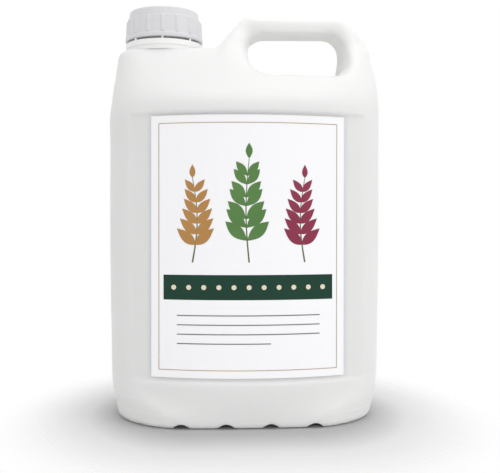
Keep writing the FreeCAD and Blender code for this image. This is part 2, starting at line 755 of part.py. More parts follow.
def make_tamper_band():
    """A ring whose lip is caught under the neck's bead, with the stubs of its broken bridges."""
    body = new_body("tamper_band")
    corners = [
        (lip_radius, band_bottom),
        (band_radius, band_bottom),
        (band_radius, band_top),
        (band_bore, band_top),
        (band_bore, lip_top),
        (lip_radius, lip_top),
    ]
    revolve(body, "band_turning", polygon_sketch(body, "band_outline", "XZ_Plane", corners))
    middle = f"({band_bore} + Sizes.band_thickness / 2)"
    stub_bottom = f"({band_top} - Sizes.band_lip_height / 2)"
    stub_top = f"({cap_bottom} - Sizes.bridge_break)"
    stub = polygon_sketch(body, "bridge_outline", "XZ_Plane", [
        (f"{middle} - Sizes.bridge_thickness / 2", stub_bottom),
        (f"{middle} + Sizes.bridge_thickness / 2", stub_bottom),
        (f"{middle} + Sizes.bridge_thickness / 2", stub_top),
        (f"{middle} - Sizes.bridge_thickness / 2", stub_top),
    ])
    first_stub = symmetric_pad(body, "bridge", stub, "Sizes.bridge_width")
    ring_of(body, "bridges", first_stub, stub, "Sizes.bridge_count")
    on_neck(body)
    return body


def make_front_label():
    """A thin sheet on the front panel."""
    body = new_body("front_label")
    ends = []
    for end, height in (
        ("bottom", "Sizes.label_bottom"),
        ("top", "Sizes.label_bottom + Sizes.label_height"),
    ):
        reach = f"{half_depth_at(height)} - Sizes.panel_depth + Sizes.label_gap"
        ends.append(label_sketch(body, f"label_{end}", height, reach))
    loft(body, "Additive", "label_sheet", ends, True)
    return body


pieces = make_bottle() + [
    make_screw_cap(),
    make_cap_liner(),
    make_tamper_band(),
    make_front_label(),
]

doc.recompute()
for item in doc.Objects:
    if "Invalid" in item.State or "Error" in item.State:
        raise RuntimeError(f"{item.Label} failed: {item.State}")
for piece in pieces:
    if piece.Shape.isNull() or not piece.Shape.isValid() or len(piece.Shape.Solids) != 1:
        raise RuntimeError(f"{piece.Label} isn't one sound solid")

os.makedirs("parts", exist_ok=True)
for piece in pieces:
    piece.Shape.exportStep(f"parts/{piece.Label}.step")
    print(piece.Label, round(piece.Shape.Volume, 1), piece.Shape.BoundBox)
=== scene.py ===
import math

import bmesh
import bpy
from mathutils import Matrix, Vector
from mathutils.bvhtree import BVHTree


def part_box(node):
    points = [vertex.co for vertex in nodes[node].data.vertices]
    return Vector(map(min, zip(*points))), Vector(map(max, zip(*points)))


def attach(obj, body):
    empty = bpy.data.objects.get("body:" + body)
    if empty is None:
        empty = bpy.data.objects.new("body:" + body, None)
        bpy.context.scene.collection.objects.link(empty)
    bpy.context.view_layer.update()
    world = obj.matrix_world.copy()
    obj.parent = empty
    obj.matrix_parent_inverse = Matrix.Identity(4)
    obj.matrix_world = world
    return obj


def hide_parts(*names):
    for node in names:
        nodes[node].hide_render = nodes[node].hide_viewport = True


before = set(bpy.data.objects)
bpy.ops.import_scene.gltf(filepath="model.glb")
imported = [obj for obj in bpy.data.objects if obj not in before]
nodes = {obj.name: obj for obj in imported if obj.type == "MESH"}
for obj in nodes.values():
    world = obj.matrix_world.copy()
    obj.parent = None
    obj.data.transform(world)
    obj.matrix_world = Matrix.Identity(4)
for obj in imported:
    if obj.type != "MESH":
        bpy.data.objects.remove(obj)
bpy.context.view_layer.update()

scene = bpy.context.scene

# The bottle is one blow moulding of white polyethylene: two mould halves close on a soft tube and
# air presses it outwards, so every edge is a little rounded. The visible skin is taken from the
# outside of the solid, closed over the neck, and softened.
band_low, band_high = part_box("tamper_band")
neck_x = (band_low.x + band_high.x) / 2
collar_top = band_low.z - 0.0003
collar_radius = 0.0272
platform_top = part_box("neck_finish")[0].z
seam_weld = 2e-5
skin_voxel = 0.0009
skin_softening = 5
label_low, label_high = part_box("front_label")


def outside_faces(shell):
    """The faces of a hollow moulding from which some straight way leads out of it."""
    tree = BVHTree.FromBMesh(shell)
    upward = 0.4
    ways = [Vector(way).normalized() for way in (
        (1, 0, 0), (-1, 0, 0), (0, 1, 0), (0, -1, 0), (0, 0, -1),
        (1, 1, 0), (1, -1, 0), (-1, 1, 0), (-1, -1, 0),
        (1, 0, upward), (-1, 0, upward), (0, 1, upward), (0, -1, upward),
    )]
    start_gap = 5e-5
    found = set()
    for face in shell.faces:
        start = face.calc_center_median() + face.normal * start_gap
        if any(tree.ray_cast(start, way)[0] is None for way in ways):
            found.add(face)
    return found


def applied(piece):
    """The piece's mesh with its modifiers worked in."""
    graph = bpy.context.evaluated_depsgraph_get()
    return bpy.data.meshes.new_from_object(piece.evaluated_get(graph))


def new_piece(name, mesh):
    piece = bpy.data.objects.new(name, mesh)
    scene.collection.objects.link(piece)
    return piece


def smooth_step(low, high, value):
    share = min(1.0, max(0.0, (value - low) / (high - low)))
    return share * share * (3 - 2 * share)


shell = bmesh.new()
for node in ("bottle_body", "bottle_shoulder", "bottle_handle"):
    shell.from_mesh(nodes[node].data)
neck_starts_at = len(shell.faces)
shell.from_mesh(nodes["neck_finish"].data)
shell.faces.ensure_lookup_table()
neck_faces = set(shell.faces[neck_starts_at:])
kept = outside_faces(shell) - neck_faces
bmesh.ops.delete(shell, geom=[face for face in shell.faces if face not in kept], context="FACES")
bmesh.ops.remove_doubles(shell, verts=shell.verts, dist=seam_weld)
bmesh.ops.holes_fill(shell, edges=[edge for edge in shell.edges if edge.is_boundary], sides=0)
bmesh.ops.recalc_face_normals(shell, faces=shell.faces)
skin_mesh = bpy.data.meshes.new("bottle_outside")
shell.to_mesh(skin_mesh)
shell.free()
draft = new_piece("bottle_draft", skin_mesh)
remesh = draft.modifiers.new("even_faces", "REMESH")
remesh.mode = "VOXEL"
remesh.voxel_size = skin_voxel
soften = draft.modifiers.new("soft_edges", "SMOOTH")
soften.factor = 0.5
soften.iterations = skin_softening
draft_mesh = applied(draft)
bpy.data.objects.remove(draft)

# Both outer shoulders of the handle are blown a little fuller than straight lines and plain arcs.
flank_foot, flank_end = -0.020, 0.0075
flank_fullness = 0.0053
flank_rise, flank_fall = 1.6, 0.75
flank_peak = flank_rise / (flank_rise + flank_fall)
flank_most = flank_peak ** flank_rise * (1 - flank_peak) ** flank_fall
flank_skin = 0.004
flank_deep = 0.020
handle_top = 0.2778
ridge_column = 0.001
ridge_height = {}
for vertex in draft_mesh.vertices:
    column = round(vertex.co.x / ridge_column)
    ridge_height[column] = max(ridge_height.get(column, 0), vertex.co.z)
arm_centre = Vector((0.060, 0, 0.246))
arm_fullness = 0.0018
arm_inside, arm_outside = 0.016, 0.028
arm_steepness = 4
for vertex in draft_mesh.vertices:
    place = vertex.co
    along = (place.x - flank_foot) / (flank_end - flank_foot)
    if 0 < along < 1:
        lift = flank_fullness * along ** flank_rise * (1 - along) ** flank_fall / flank_most
        depth = ridge_height[round(place.x / ridge_column)] - place.z
        lift *= 1 - smooth_step(flank_skin, flank_deep, depth)
        place.z = max(place.z, min(place.z + lift, handle_top))
    out_x = place.x - arm_centre.x
    out_z = place.z - arm_centre.z
    reach = math.hypot(out_x, out_z)
    if out_x > 0 and out_z > 0:
        grow = arm_fullness * smooth_step(arm_inside, arm_outside, reach)
        grow *= min(1.0, arm_steepness * out_x * out_z / reach ** 2)
        place.x += grow * out_x / reach
        place.z += grow * out_z / reach

# The rims at the two ends and the foot of the finger slot, and the top corner of the handle's
# sloping flank, are rounder than the rest.
draft = new_piece("bottle_rounder", draft_mesh)
slot_left, slot_right, slot_foot, slot_top = 0.0022, 0.070, 0.231, 0.266
rim_reach = 0.015
bar_guard = 0.006
flank_top = Vector((0.0010, 0, 0.277))
flank_reach = 0.016
rounder = draft.vertex_groups.new(name="rounder")
flank_group = draft.vertex_groups.new(name="flank_top")
for vertex in draft_mesh.vertices:
    place = vertex.co
    past_x = max(slot_left - place.x, place.x - slot_right, 0)
    past_z = max(slot_foot - place.z, 0)
    rim = 1 - smooth_step(rim_reach / 2, rim_reach, math.hypot(past_x, past_z))
    rim *= 1 - smooth_step(slot_top - 2 * bar_guard, slot_top - bar_guard / 2, place.z)
    corner_gap = math.hypot(place.x - flank_top.x, place.z - flank_top.z)
    corner = 1 - smooth_step(flank_reach / 2, flank_reach, corner_gap)
    if rim > 0 and place.z > slot_foot - rim_reach:
        rounder.add([vertex.index], rim, "REPLACE")
    if corner > 0:
        flank_group.add([vertex.index], corner, "REPLACE")
round_rims = draft.modifiers.new("round_rims", "SMOOTH")
round_rims.vertex_group = "rounder"
round_rims.factor = 0.5
round_rims.iterations = 260
round_flank = draft.modifiers.new("round_flank", "SMOOTH")
round_flank.vertex_group = "flank_top"
round_flank.factor = 0.5
round_flank.iterations = 50
bottle_mesh = applied(draft)
bpy.data.objects.remove(draft)

# Under the bar, the slot's front rim is nearly square.
bar_left, bar_right = 0.008, 0.062
bar_fade = 0.010
rim_edge = 0.005
squareness = 5
bar_column = 0.001
bar_face = {}
for vertex in bottle_mesh.vertices:
    place = vertex.co
    if place.y < 0 and rim_edge < place.z - slot_top < 1.5 * rim_edge:
        column = round(place.x / bar_column)
        bar_face[column] = max(bar_face.get(column, 0), -place.y)
for vertex in bottle_mesh.vertices:
    place = vertex.co
    share = smooth_step(bar_left, bar_left + bar_fade, place.x)
    share *= 1 - smooth_step(bar_right - bar_fade, bar_right, place.x)
    if place.y < 0 < share and abs(place.z - slot_top) < rim_edge:
        face = bar_face[round(place.x / bar_column)]
        out = (rim_edge - face - place.y) / rim_edge
        down = (slot_top + rim_edge - place.z) / rim_edge
        reach = math.hypot(out, down)
        if out > 0 and down > 0:
            squared = reach / (out ** squareness + down ** squareness) ** (1 / squareness)
            grow = rim_edge * (squared - 1) * share
            place.y -= out * grow
            place.z -= down * grow

# Towards the foot the corners of the plan grow rounder, as a blown corner does near the base.
foot_corner = 0.060
foot_ease = 0.003
foot_keeps_shape = 0.042
foot_is_round = 0.010
slice_height = 0.001
half_width = {}
half_depth = {}
for vertex in bottle_mesh.vertices:
    level = round(vertex.co.z / slice_height)
    half_width[level] = max(half_width.get(level, 0), abs(vertex.co.x))
    half_depth[level] = max(half_depth.get(level, 0), abs(vertex.co.y))
for vertex in bottle_mesh.vertices:
    place = vertex.co
    level = round(place.z / slice_height)
    if place.z < foot_keeps_shape:
        past_x = abs(place.x) - (half_width[level] - foot_corner)
        past_y = abs(place.y) - (half_depth[level] - foot_corner)
        reach = math.hypot(past_x, past_y)
        excess = reach - foot_corner
        if past_x > 0 and past_y > 0 and excess > 0:
            pull = excess * excess / (excess + foot_ease) / reach
            pull *= 1 - smooth_step(foot_is_round, foot_keeps_shape, place.z)
            place.x -= math.copysign(past_x * pull, place.x)
            place.y -= math.copysign(past_y * pull, place.y)

# Behind the label the skin stands back by a hair, so that the sheet lies clear of it.
hair = 0.00035
label_margin = 0.001
label_fade = 0.003
for vertex in bottle_mesh.vertices:
    place = vertex.co
    if place.y < 0:
        past_x = max(label_low.x - place.x, place.x - label_high.x)
        past_z = max(label_low.z - place.z, place.z - label_high.z)
        past = max(past_x, past_z)
        place.y += hair * (1 - smooth_step(label_margin, label_margin + label_fade, past))


def no_relief(angle, radius, height):
    return 0.0


def turned(name, outline, columns, relief=no_relief):
    """A mesh turned about the neck's axis from an outline of (radius, height) points. The relief
    is added to a point's radius and is read from its angle, radius and height."""
    mesh = bmesh.new()
    rings = []
    for radius, height in outline:
        ring = []
        for column in range(columns):
            angle = 2 * math.pi * column / columns
            reach = radius + relief(angle, radius, height)
            ring.append(mesh.verts.new((neck_x + reach * math.cos(angle), reach * math.sin(angle), height)))
        rings.append(ring)
    for lower, upper in zip(rings, rings[1:]):
        for column in range(columns):
            beside = (column + 1) % columns
            mesh.faces.new((lower[column], lower[beside], upper[beside], upper[column]))
    bmesh.ops.remove_doubles(mesh, verts=mesh.verts, dist=1e-7)
    bmesh.ops.recalc_face_normals(mesh, faces=mesh.faces)
    made = bpy.data.meshes.new(name)
    mesh.to_mesh(made)
    mesh.free()
    return made


def line(start, end, steps):
    """Evenly spaced points from one point to another, both included."""
    return [
        (start[0] + (end[0] - start[0]) * i / steps, start[1] + (end[1] - start[1]) * i / steps)
        for i in range(steps + 1)
    ]


def rounded(points, radius, steps=5):
    """An outline through the points with its inner corners rounded."""
    outline = [points[0]]
    for before, corner, after in zip(points, points[1:], points[2:]):
        here = Vector(corner)
        back = Vector(before) - here
        ahead = Vector(after) - here
        cut = min(radius, back.length * 0.45, ahead.length * 0.45)
        first = here + back.normalized() * cut
        last = here + ahead.normalized() * cut
        for i in range(steps + 1):
            share = i / steps
            point = first * (1 - share) ** 2 + here * 2 * share * (1 - share) + last * share ** 2
            outline.append((point.x, point.y))
    outline.append(points[-1])
    return outline


def filled_in(outline, longest):
    """The outline with its long runs divided, so that relief has points to move."""
    dense = []
    for start, end in zip(outline, outline[1:]):
        steps = max(1, math.ceil(math.dist(start, end) / longest))
        dense += line(start, end, steps)[:-1]
    return dense + [outline[-1]]


# The neck is blown with the bottle and calibrated to size: a collar, a seat and bead that hold the
# tamper band, and a two-turn thread.
liner_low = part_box("cap_liner")[0]
thread_pitch = 0.004
thread_depth = 0.0016
thread_root = 0.0026
thread_crest = 0.0012
thread_start = 0.262
thread_lead_in = 0.06
same_radius = 1e-6
neck_turns = 2.0
neck_sunk = 0.002
neck_edge = 0.0006
neck_edge_steps = 4
neck_point_gap = 0.0003
neck_columns = 240
neck_root = 0.0206
neck_bore = 0.0186
neck_top = liner_low.z - 0.00005
bead_radius = 0.0234
bead_low = band_low.z + 0.0014
bead_high = bead_low + 0.0016
seat_radius = 0.0216


def ridge(angle, height, start, turns, root, crest):
    """How far up a thread's side a point lies, from 0 at its root to 1 on its crest."""
    turn = angle / (2 * math.pi)
    turn += round((height - start) / thread_pitch - turn)
    if turn < 0 or turn > turns:
        return 0.0
    off = abs(height - start - thread_pitch * turn)
    ends = min(1.0, turn / thread_lead_in, (turns - turn) / thread_lead_in)
    return ends * min(1.0, max(0.0, (root / 2 - off) / ((root - crest) / 2)))


def neck_relief(angle, radius, height):
    if abs(radius - neck_root) > same_radius:
        return 0.0
    return thread_depth * ridge(angle, height, thread_start, neck_turns, thread_root, thread_crest)


neck_points = [
    (collar_radius, platform_top - neck_sunk),
    (collar_radius, collar_top),
    (seat_radius, collar_top),
    (seat_radius, bead_low),
    (bead_radius, bead_low),
    (bead_radius, (bead_low + bead_high) / 2),
    (neck_root, bead_high),
    (neck_root, neck_top),
    (neck_bore, neck_top),
    (neck_bore, platform_top - neck_sunk),
]
neck_outline = filled_in(rounded(neck_points, neck_edge, neck_edge_steps), neck_point_gap)
neck_mesh = turned("neck_finish", neck_outline, neck_columns, neck_relief)
bottle_mesh.materials.clear()
joined = bmesh.new()
joined.from_mesh(bottle_mesh)
skin_faces = len(joined.faces)
joined.from_mesh(neck_mesh)
joined.faces.ensure_lookup_table()
for face in joined.faces[skin_faces:]:
    face.material_index = 1
joined.to_mesh(bottle_mesh)
joined.free()
bottle_mesh.name = "bottle_skin"
for polygon in bottle_mesh.polygons:
    polygon.use_smooth = True
bottle = new_piece("bottle_skin", bottle_mesh)
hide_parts("bottle_body", "bottle_shoulder", "bottle_handle", "neck_finish")
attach(bottle, "bottle")


def socket(group, name, kind, way, value=None):
    made = group.interface.new_socket(name=name, in_out=way, socket_type=kind)
    if value is not None:
        made.default_value = value
    return made


def moulded_plastic_group():
    """Polyethylene from a mould: a faint cloud in its colour, a soft gloss that comes and goes,
    and a fine skin texture over slow waves of uneven shrinkage."""
    group = bpy.data.node_groups.new("moulded_plastic", "ShaderNodeTree")
    socket(group, "Colour", "NodeSocketColor", "INPUT", (0.8, 0.8, 0.8, 1))
    socket(group, "Shade", "NodeSocketColor", "INPUT", (0.75, 0.75, 0.75, 1))
    socket(group, "Gloss Low", "NodeSocketFloat", "INPUT", 0.3)
    socket(group, "Gloss High", "NodeSocketFloat", "INPUT", 0.45)
    socket(group, "Skin Depth", "NodeSocketFloat", "INPUT", 0.05)
    socket(group, "Wave Depth", "NodeSocketFloat", "INPUT", 0.1)
    socket(group, "Colour", "NodeSocketColor", "OUTPUT")
    socket(group, "Roughness", "NodeSocketFloat", "OUTPUT")
    socket(group, "Normal", "NodeSocketVector", "OUTPUT")
    make = group.nodes.new
    link = group.links.new
    given = make("NodeGroupInput")
    out = make("NodeGroupOutput")
    place = make("ShaderNodeTexCoord")

    def noise(scale, detail):
        texture = make("ShaderNodeTexNoise")
        texture.inputs["Scale"].default_value = scale
        texture.inputs["Detail"].default_value = detail
        link(place.outputs["Object"], texture.inputs["Vector"])
        return texture.outputs["Fac"]

    cloud = noise(14.0, 3.0)
    tint = make("ShaderNodeMix")
    tint.data_type = "RGBA"
    link(cloud, tint.inputs[0])
    link(given.outputs["Colour"], tint.inputs[6])
    link(given.outputs["Shade"], tint.inputs[7])
    link(tint.outputs[2], out.inputs["Colour"])
    gloss = make("ShaderNodeMapRange")
    link(noise(55.0, 4.0), gloss.inputs["Value"])
    gloss.inputs["From Min"].default_value = 0.3
    gloss.inputs["From Max"].default_value = 0.7
    link(given.outputs["Gloss Low"], gloss.inputs["To Min"])
    link(given.outputs["Gloss High"], gloss.inputs["To Max"])
    link(gloss.outputs["Result"], out.inputs["Roughness"])
    waves = make("ShaderNodeBump")
    waves.inputs["Distance"].default_value = 0.002
    link(given.outputs["Wave Depth"], waves.inputs["Strength"])
    link(noise(28.0, 1.0), waves.inputs["Height"])
    skin = make("ShaderNodeBump")
    skin.inputs["Distance"].default_value = 0.0002
    link(given.outputs["Skin Depth"], skin.inputs["Strength"])
    link(noise(1400.0, 2.0), skin.inputs["Height"])
    link(waves.outputs["Normal"], skin.inputs["Normal"])
    link(skin.outputs["Normal"], out.inputs["Normal"])
    return group


plastic_group = moulded_plastic_group()


def plastic(name, colour, shade, gloss, skin_depth, wave_depth):
    """A moulded plastic finish with its own colours, range of gloss and relief."""
    material = bpy.data.materials.new(name)
    material.use_nodes = True
    tree = material.node_tree
    surface = tree.nodes["Principled BSDF"]
    effect = tree.nodes.new("ShaderNodeGroup")
    effect.node_tree = plastic_group
    effect.inputs["Colour"].default_value = (*colour, 1)
    effect.inputs["Shade"].default_value = (*shade, 1)
    effect.inputs["Gloss Low"].default_value = gloss[0]
    effect.inputs["Gloss High"].default_value = gloss[1]
    effect.inputs["Skin Depth"].default_value = skin_depth
    effect.inputs["Wave Depth"].default_value = wave_depth
    tree.links.new(effect.outputs["Colour"], surface.inputs["Base Color"])
    tree.links.new(effect.outputs["Roughness"], surface.inputs["Roughness"])
    tree.links.new(effect.outputs["Normal"], surface.inputs["Normal"])
    surface.inputs["IOR"].default_value = 1.5
    return material


bottle_finish = plastic(
    "white_polyethylene", (0.79, 0.79, 0.785), (0.77, 0.77, 0.765), (0.36, 0.46), 0.08, 0.05)
bottle_surface = bottle_finish.node_tree.nodes["Principled BSDF"]
bottle_surface.inputs["Subsurface Weight"].default_value = 0.7
bottle_surface.inputs["Subsurface Radius"].default_value = (1.0, 0.95, 0.85)
bottle_surface.inputs["Subsurface Scale"].default_value = 0.011
bottle.data.materials.append(bottle_finish)
# The neck's polyethylene is painted paler than the body's: painted light that lifts the shade under the
# cap's flange.
bottle.data.materials.append(
    plastic("neck_polyethylene_painted_paler", (0.87, 0.87, 0.865), (0.85, 0.85, 0.845), (0.32, 0.42), 0.05, 0.0))

# The front label is a printed white film, cut to a rectangle and stuck on the recessed panel, whose
# bow it follows.
label = nodes["front_label"]
label.data.materials.clear()
label.data.materials.append(
    plastic("white_film", (0.95, 0.95, 0.965), (0.935, 0.935, 0.95), (0.42, 0.5), 0.12, 0.0))

label_tree = BVHTree.FromPolygons(
    [vertex.co for vertex in label.data.vertices], [tuple(face.vertices) for face in label.data.polygons])
ink_lift = 0.00005
upper_ink_lift = 0.0001
leaf_step = 0.000005
label_middle = (label_low.x + label_high.x) / 2


def on_label(across, up, lift):
    """The place over the label's face, so many metres from its middle line and above its foot."""
    x = label_middle + across
    z = label_low.z + up
    hit = label_tree.ray_cast(Vector((x, -1, z)), Vector((0, 1, 0)))[0]
    return (x, hit.y - lift, z)


def ribbon(mesh, path, widths, columns, lift=ink_lift):
    """A printed shape drawn along a path, with a width at each of its points."""
    rows = []
    for i, here in enumerate(path):
        before = Vector(path[max(0, i - 1)])
        after = Vector(path[min(len(path) - 1, i + 1)])
        along = (after - before).normalized()
        row = []
        for column in range(columns + 1):
            off = widths[i] * (column / columns - 0.5)
            row.append(mesh.verts.new(on_label(here[0] - along.y * off, here[1] + along.x * off, lift)))
        rows.append(row)
    for lower, upper in zip(rows, rows[1:]):
        for column in range(columns):
            mesh.faces.new((lower[column], upper[column], upper[column + 1], lower[column + 1]))


def leaf(mesh, foot, heading, length, width, fullness, lift):
    """A leaf or petal that starts at its foot and heads off at an angle from level."""
    steps = 10
    tip = (foot[0] + length * math.cos(heading), foot[1] + length * math.sin(heading))
    widths = [max(1e-5, width * math.sin(math.pi * (i / steps) ** fullness)) for i in range(steps + 1)]
    ribbon(mesh, line(foot, tip, steps), widths, 4, lift)


def dot(mesh, centre, size):
    steps = 10
    path = []
    widths = []
    for i in range(steps + 1):
        turn = math.pi * i / steps
        path.append((centre[0] - size / 2 * math.cos(turn), centre[1]))
        widths.append(max(1e-5, size * math.sin(turn)))
    ribbon(mesh, path, widths, 4, upper_ink_lift)


def print_layer(name, mesh, colour, shade):
    """One ink of the print, laid on the label as a thin sheet that rides with it."""
    bmesh.ops.recalc_face_normals(mesh, faces=mesh.faces)
    made = bpy.data.meshes.new(name)
    mesh.to_mesh(made)
    mesh.free()
    piece = new_piece(name, made)
    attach(piece, "bottle")
    ink = plastic(name, colour, shade, (0.45, 0.55), 0.1, 0.0)
    ink.node_tree.nodes["Principled BSDF"].inputs["Specular IOR Level"].default_value = 0.12
    piece.data.materials.append(ink)


# The print is a plain garden design: a border rule, three upright sprigs, a dark band with dots and
# a few thin rules. Each ink is a layer of its own.
border = bmesh.new()
border_inset = 0.005
border_rule = 0.0005
border_half = (label_high.x - label_low.x) / 2 - border_inset
border_foot = border_inset
border_head = label_high.z - label_low.z - border_inset
corners = [
    (-border_half, border_foot), (border_half, border_foot),
    (border_half, border_head), (-border_half, border_head),
]
rule_steps = 40
for start, end in ((0, 1), (3, 2), (0, 3), (1, 2)):
    ribbon(border, line(corners[start], corners[end], rule_steps), [border_rule] * (rule_steps + 1), 1)
print_layer("tan_ink", border, (0.46, 0.35, 0.22), (0.40, 0.30, 0.18))

dark_band = bmesh.new()
dark_band_middle = 0.058
dark_band_height = 0.016
dark_band_end = border_half - 0.003
dark_band_steps = 60
ribbon(
    dark_band,
    line((-dark_band_end, dark_band_middle), (dark_band_end, dark_band_middle), dark_band_steps),
    [dark_band_height] * (dark_band_steps + 1), 6)
print_layer("green_band_ink", dark_band, (0.012, 0.045, 0.030), (0.018, 0.060, 0.040))

dots = bmesh.new()
dots_each_side = 5
dot_spacing = 0.0096
dot_size = 0.0032
for i in range(-dots_each_side, dots_each_side + 1):
    dot(dots, (i * dot_spacing, dark_band_middle), dot_size)
print_layer("cream_ink", dots, (0.80, 0.74, 0.58), (0.74, 0.66, 0.50))

rules = bmesh.new()
rule_left = -0.046
rule_lengths = (0.092, 0.092, 0.092, 0.060)
rule_highest = 0.040
rule_spacing = 0.006
rule_width = 0.0007
for i, length in enumerate(rule_lengths):
    height = rule_highest - i * rule_spacing
    path = line((rule_left, height), (rule_left + length, height), rule_steps)
    ribbon(rules, path, [rule_width] * (rule_steps + 1), 1)
print_layer("grey_ink", rules, (0.20, 0.20, 0.21), (0.16, 0.16, 0.17))


def sprig(mesh_stem, mesh_leaf, across, bottom, top, sway, pairs, size, fullness):
    """A stem with pairs of leaves that shrink and close in towards its tip."""
    steps = 24
    stem_foot, stem_tip = 0.0010, 0.0004
    bare_foot, leafy = 0.22, 0.72
    widest_spread, closing_in = 52, 16
    leaf_shape, tip_length, tip_width = 0.42, 0.5, 0.22
    path = [
        (across + sway * math.sin(math.pi * i / steps), bottom + (top - bottom) * i / steps)
        for i in range(steps + 1)
    ]
    ribbon(mesh_stem, path, [stem_foot + (stem_tip - stem_foot) * i / steps for i in range(steps + 1)], 1)
    upright = math.pi / 2
    for pair in range(pairs):
        share = bare_foot + leafy * pair / pairs
        at = path[round(share * steps)]
        length = size * (1.05 - 0.55 * share)
        spread = math.radians(widest_spread - closing_in * share)
        lift = upper_ink_lift + 2 * pair * leaf_step
        leaf(mesh_leaf, at, upright - spread, length, length * leaf_shape, fullness, lift)
        leaf(mesh_leaf, at, upright + spread, length, length * leaf_shape, fullness, lift + leaf_step)
    leaf(mesh_leaf, path[-1], upright, size * tip_length, size * tip_width, fullness, upper_ink_lift)


stems = bmesh.new()
brown_leaves = bmesh.new()
red_leaves = bmesh.new()
green_leaves = bmesh.new()
sprig_spacing = 0.036
sprig_foot = 0.074
side_sprig_top = 0.128
middle_sprig_top = 0.140
sprig(stems, brown_leaves, -sprig_spacing, sprig_foot, side_sprig_top,
      sway=0.003, pairs=6, size=0.017, fullness=0.8)
sprig(stems, green_leaves, 0.0, sprig_foot, middle_sprig_top,
      sway=-0.002, pairs=7, size=0.020, fullness=1.0)
sprig(stems, red_leaves, sprig_spacing, sprig_foot, side_sprig_top,
      sway=-0.003, pairs=6, size=0.017, fullness=0.8)
print_layer("stem_ink", stems, (0.10, 0.13, 0.05), (0.13, 0.15, 0.06))
print_layer("brown_ink", brown_leaves, (0.38, 0.17, 0.05), (0.52, 0.29, 0.10))
print_layer("green_ink", green_leaves, (0.05, 0.15, 0.05), (0.16, 0.30, 0.09))
print_layer("red_ink", red_leaves, (0.20, 0.02, 0.05), (0.36, 0.07, 0.12))

# The tamper band is a moulded ring that stays on the neck under its bead. The stubs on its upper
# edge are what is left of the bridges that held it to the cap.
band_radius = (band_high.x - band_low.x) / 2
band_bore = 0.0240
band_height = 0.0039
band_top = band_low.z + band_height
band_foot_gap = 0.00022
band_edge = 0.0005
band_point_gap = 0.001
band_columns = 160
stub_count = 8
stub_width = 0.0012
stub_depth = 0.0012
stub_inset = 0.0002
stub_root = 0.0004
band_points = [
    (band_bore, band_low.z - band_foot_gap),
    (band_radius, band_low.z - band_foot_gap),
    (band_radius, band_top),
    (band_bore, band_top),
    (band_bore, band_low.z - band_foot_gap),
]
band_mesh = turned("band_skin", filled_in(rounded(band_points, band_edge), band_point_gap), band_columns)
stubs = bmesh.new()
stubs.from_mesh(band_mesh)
for i in range(stub_count):
    turn = 2 * math.pi * i / stub_count
    middle_radius = band_radius - stub_inset - stub_depth / 2
    centre = Vector((neck_x + middle_radius * math.cos(turn), middle_radius * math.sin(turn),
                     (band_top + band_high.z - stub_root) / 2))
    size = Matrix.Diagonal((stub_depth, stub_width, band_high.z - band_top + stub_root, 1))
    bmesh.ops.create_cube(
        stubs, size=1, matrix=Matrix.Translation(centre) @ Matrix.Rotation(turn, 4, "Z") @ size)
stubs.to_mesh(band_mesh)
stubs.free()
band = new_piece("band_skin", band_mesh)
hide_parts("tamper_band")
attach(band, "band")
# The band's white is partly its own tone and partly painted light, made paler to lift the shade under the
# cap's flange.
band.data.materials.append(
    plastic("band_polyethylene_painted_paler", (0.91, 0.91, 0.90), (0.88, 0.88, 0.87), (0.3, 0.4), 0.05, 0.0))

# The liner is a disc of closed-cell foam. It is cut from sheet and pressed up into the cap, where
# the thread holds it against the rim of the neck.
liner = nodes["cap_liner"]
liner.data.materials.clear()
liner.data.materials.append(
    plastic("liner_foam", (0.85, 0.85, 0.83), (0.78, 0.78, 0.76), (0.7, 0.85), 0.6, 0.0))

# The screw cap is injection moulded: a plain ring round its top, a ribbed skirt for the grip, a
# plain flange below and a thread inside.
cap_low, cap_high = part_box("screw_cap")
cap_bore = 0.0226
cap_plate = 0.002
ring_radius = 0.0248
ring_low = cap_high.z - 0.0056
skirt_top_radius = 0.0258
skirt_radius = 0.0263
skirt_slack = 0.0005
flange_radius = (cap_high.x - cap_low.x) / 2
flange_top = cap_low.z + 0.0033
flange_slope = 0.0002
ring_draft = 0.0004
top_dish = 0.0006
top_dish_radius = 0.021
top_dish_slope = 0.0008
cap_edge = 0.0012
cap_edge_steps = 6
cap_point_gap = 0.0005
columns_per_rib = 24
rib_count = 16
rib_width = 0.0020
rib_height = 0.0008
rib_fade = 0.0008
cap_turns = 1.5
cap_thread_start = thread_start + thread_pitch / 2
cap_thread_root = 0.00235
cap_thread_tip = 0.00095


def cap_relief(angle, radius, height):
    if abs(radius - cap_bore) < same_radius:
        return -thread_depth * ridge(
            angle, height, cap_thread_start, cap_turns, cap_thread_root, cap_thread_tip)
    on_skirt = radius > skirt_top_radius - skirt_slack and flange_top < height < ring_low
    if not on_skirt:
        return 0.0
    spacing = 2 * math.pi / rib_count
    off = abs((angle + spacing / 2) % spacing - spacing / 2) * radius
    up = smooth_step(flange_top, flange_top + rib_fade, height)
    down = 1 - smooth_step(ring_low - rib_fade, ring_low, height)
    across = 1 - smooth_step(rib_width / 2 - rib_fade / 2, rib_width / 2 + rib_fade / 2, off)
    return rib_height * across * min(up, down)


cap_points = [
    (0.0, cap_high.z - top_dish),
    (top_dish_radius, cap_high.z - top_dish),
    (top_dish_radius + top_dish_slope, cap_high.z),
    (ring_radius - ring_draft, cap_high.z),
    (ring_radius, ring_low),
    (skirt_top_radius, ring_low),
    (skirt_radius, flange_top),
    (flange_radius, flange_top - flange_slope),
    (flange_radius, cap_low.z),
    (cap_bore, cap_low.z),
    (cap_bore, cap_high.z - cap_plate),
    (0.0, cap_high.z - cap_plate),
]
cap_outline = filled_in(rounded(cap_points, cap_edge, cap_edge_steps), cap_point_gap)
cap_mesh = turned("cap_skin", cap_outline, rib_count * columns_per_rib, cap_relief)
for polygon in cap_mesh.polygons:
    polygon.use_smooth = True
cap = new_piece("cap_skin", cap_mesh)
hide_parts("screw_cap")
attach(cap, "cap")
cap.data.materials.append(
    plastic("cap_polyethylene", (0.71, 0.70, 0.725), (0.685, 0.675, 0.70), (0.26, 0.36), 0.05, 0.03))
